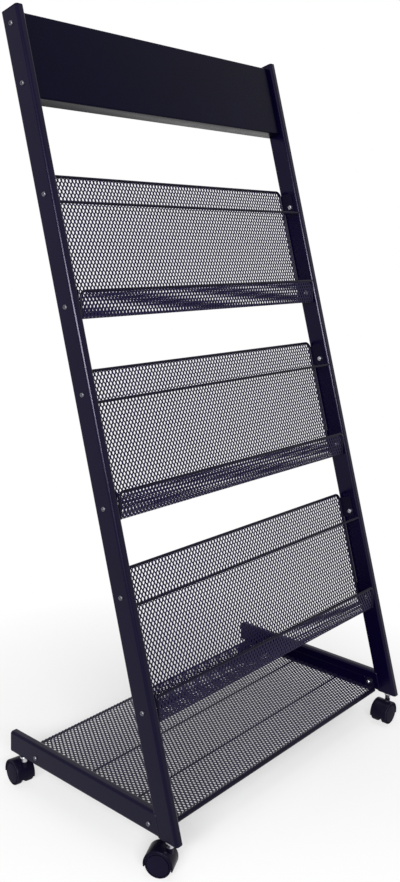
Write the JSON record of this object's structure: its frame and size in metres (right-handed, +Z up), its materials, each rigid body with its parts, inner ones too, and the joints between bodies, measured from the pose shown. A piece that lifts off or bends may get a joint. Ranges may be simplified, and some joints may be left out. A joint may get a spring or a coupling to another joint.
{
  "type": "periodical display rack",
  "caption": "Mobile leaning magazine rack: flat-oval tube uprights on swivelling twin-wheel casters, folded header panel, expanded-metal tiers with retaining rods, and a mesh bottom shelf.",
  "frame": {"origin": "on the floor, under the middle of the rack's box", "axes": "+Z up, -Y towards the reader in front, +X to that reader's right, along the width of the tiers"},
  "size_m": [0.6952, 0.3918, 1.2481],
  "materials": {
    "powder_black": "satin black powder coat with a slight violet cast, fine orange peel",
    "header_black": "satin black powder coat on flat folded sheet",
    "mesh_black": "black powder coat on expanded metal",
    "wire_black": "black powder coat on round wire and bar",
    "cap_plastic": "black moulded polyethylene tube cap",
    "caster_plastic": "black moulded nylon caster hood",
    "wheel_plastic": "black moulded nylon wheel with a satin tread",
    "zinc_steel": "bright zinc-plated steel"
  },
  "bodies": {
    "frame": {"upright_left": "powder_black", "upright_cap_left": "cap_plastic", "foot_left": "powder_black", "foot_cap_left": "cap_plastic", "upright_right": "powder_black", "upright_cap_right": "cap_plastic", "foot_right": "powder_black", "foot_cap_right": "cap_plastic", "header_panel": "header_black", "tier_1_back_mesh": "mesh_black", "tier_1_floor_mesh": "mesh_black", "tier_1_lip_mesh": "mesh_black", "tier_1_back_frame": "wire_black", "tier_1_lip_wire": "wire_black", "tier_1_retaining_rod": "wire_black", "tier_1_end_plate_left": "powder_black", "tier_1_end_plate_right": "powder_black", "tier_2_back_mesh": "mesh_black", "tier_2_floor_mesh": "mesh_black", "tier_2_lip_mesh": "mesh_black", "tier_2_back_frame": "wire_black", "tier_2_lip_wire": "wire_black", "tier_2_retaining_rod": "wire_black", "tier_2_end_plate_left": "powder_black", "tier_2_end_plate_right": "powder_black", "tier_3_back_mesh": "mesh_black", "tier_3_floor_mesh": "mesh_black", "tier_3_lip_mesh": "mesh_black", "tier_3_back_frame": "wire_black", "tier_3_lip_wire": "wire_black", "tier_3_retaining_rod": "wire_black", "tier_3_end_plate_left": "powder_black", "tier_3_end_plate_right": "powder_black", "shelf_mesh": "mesh_black", "shelf_front_bar": "wire_black", "shelf_rod_1": "wire_black", "shelf_rod_2": "wire_black", "shelf_rear_rod": "wire_black", "shelf_strip_left": "powder_black", "shelf_strip_right": "powder_black", "caster_front_left_stem": "zinc_steel", "caster_front_right_stem": "zinc_steel", "caster_rear_left_stem": "zinc_steel", "caster_rear_right_stem": "zinc_steel"},
    "caster_front_left": {"caster_front_left_hood": "caster_plastic", "caster_front_left_axle": "zinc_steel"},
    "caster_front_left_wheel_left": {"caster_front_left_wheel_left": "wheel_plastic"},
    "caster_front_left_wheel_right": {"caster_front_left_wheel_right": "wheel_plastic"},
    "caster_front_right": {"caster_front_right_hood": "caster_plastic", "caster_front_right_axle": "zinc_steel"},
    "caster_front_right_wheel_left": {"caster_front_right_wheel_left": "wheel_plastic"},
    "caster_front_right_wheel_right": {"caster_front_right_wheel_right": "wheel_plastic"},
    "caster_rear_left": {"caster_rear_left_hood": "caster_plastic", "caster_rear_left_axle": "zinc_steel"},
    "caster_rear_left_wheel_left": {"caster_rear_left_wheel_left": "wheel_plastic"},
    "caster_rear_left_wheel_right": {"caster_rear_left_wheel_right": "wheel_plastic"},
    "caster_rear_right": {"caster_rear_right_hood": "caster_plastic", "caster_rear_right_axle": "zinc_steel"},
    "caster_rear_right_wheel_left": {"caster_rear_right_wheel_left": "wheel_plastic"},
    "caster_rear_right_wheel_right": {"caster_rear_right_wheel_right": "wheel_plastic"}
  },
  "joints": [
    {"name": "caster_front_left_swivel", "type": "hinge", "parent": "frame", "child": "caster_front_left", "pos_m": [-0.3175, -0.17655, 0.0431], "axis": [0, 0, 1], "continuous": true},
    {"name": "caster_front_left_roll_left", "type": "hinge", "parent": "caster_front_left", "child": "caster_front_left_wheel_left", "pos_m": [-0.33302, -0.16834, 0.02], "axis": [-0.9063, -0.4226, 0], "continuous": true},
    {"name": "caster_front_left_roll_right", "type": "hinge", "parent": "caster_front_left", "child": "caster_front_left_wheel_right", "pos_m": [-0.31381, -0.15938, 0.02], "axis": [-0.9063, -0.4226, 0], "continuous": true},
    {"name": "caster_front_right_swivel", "type": "hinge", "parent": "frame", "child": "caster_front_right", "pos_m": [0.3175, -0.17655, 0.0431], "axis": [0, 0, 1], "continuous": true},
    {"name": "caster_front_right_roll_left", "type": "hinge", "parent": "caster_front_right", "child": "caster_front_right_wheel_left", "pos_m": [0.3035, -0.18715, 0.02], "axis": [0, -1, 0], "continuous": true},
    {"name": "caster_front_right_roll_right", "type": "hinge", "parent": "caster_front_right", "child": "caster_front_right_wheel_right", "pos_m": [0.3035, -0.16595, 0.02], "axis": [0, -1, 0], "continuous": true},
    {"name": "caster_rear_left_swivel", "type": "hinge", "parent": "frame", "child": "caster_rear_left", "pos_m": [-0.3175, 0.14914, 0.0431], "axis": [0, 0, 1], "continuous": true},
    {"name": "caster_rear_left_roll_left", "type": "hinge", "parent": "caster_rear_left", "child": "caster_rear_left_wheel_left", "pos_m": [-0.32551, 0.16477, 0.02], "axis": [-0.9848, 0.1736, 0], "continuous": true},
    {"name": "caster_rear_left_roll_right", "type": "hinge", "parent": "caster_rear_left", "child": "caster_rear_left_wheel_right", "pos_m": [-0.30463, 0.16109, 0.02], "axis": [-0.9848, 0.1736, 0], "continuous": true},
    {"name": "caster_rear_right_swivel", "type": "hinge", "parent": "frame", "child": "caster_rear_right", "pos_m": [0.3175, 0.14914, 0.0431], "axis": [0, 0, 1], "continuous": true},
    {"name": "caster_rear_right_roll_left", "type": "hinge", "parent": "caster_rear_right", "child": "caster_rear_right_wheel_left", "pos_m": [0.31381, 0.16631, 0.02], "axis": [-0.9063, 0.4226, 0], "continuous": true},
    {"name": "caster_rear_right_roll_right", "type": "hinge", "parent": "caster_rear_right", "child": "caster_rear_right_wheel_right", "pos_m": [0.33302, 0.15735, 0.02], "axis": [-0.9063, 0.4226, 0], "continuous": true}
  ]
}
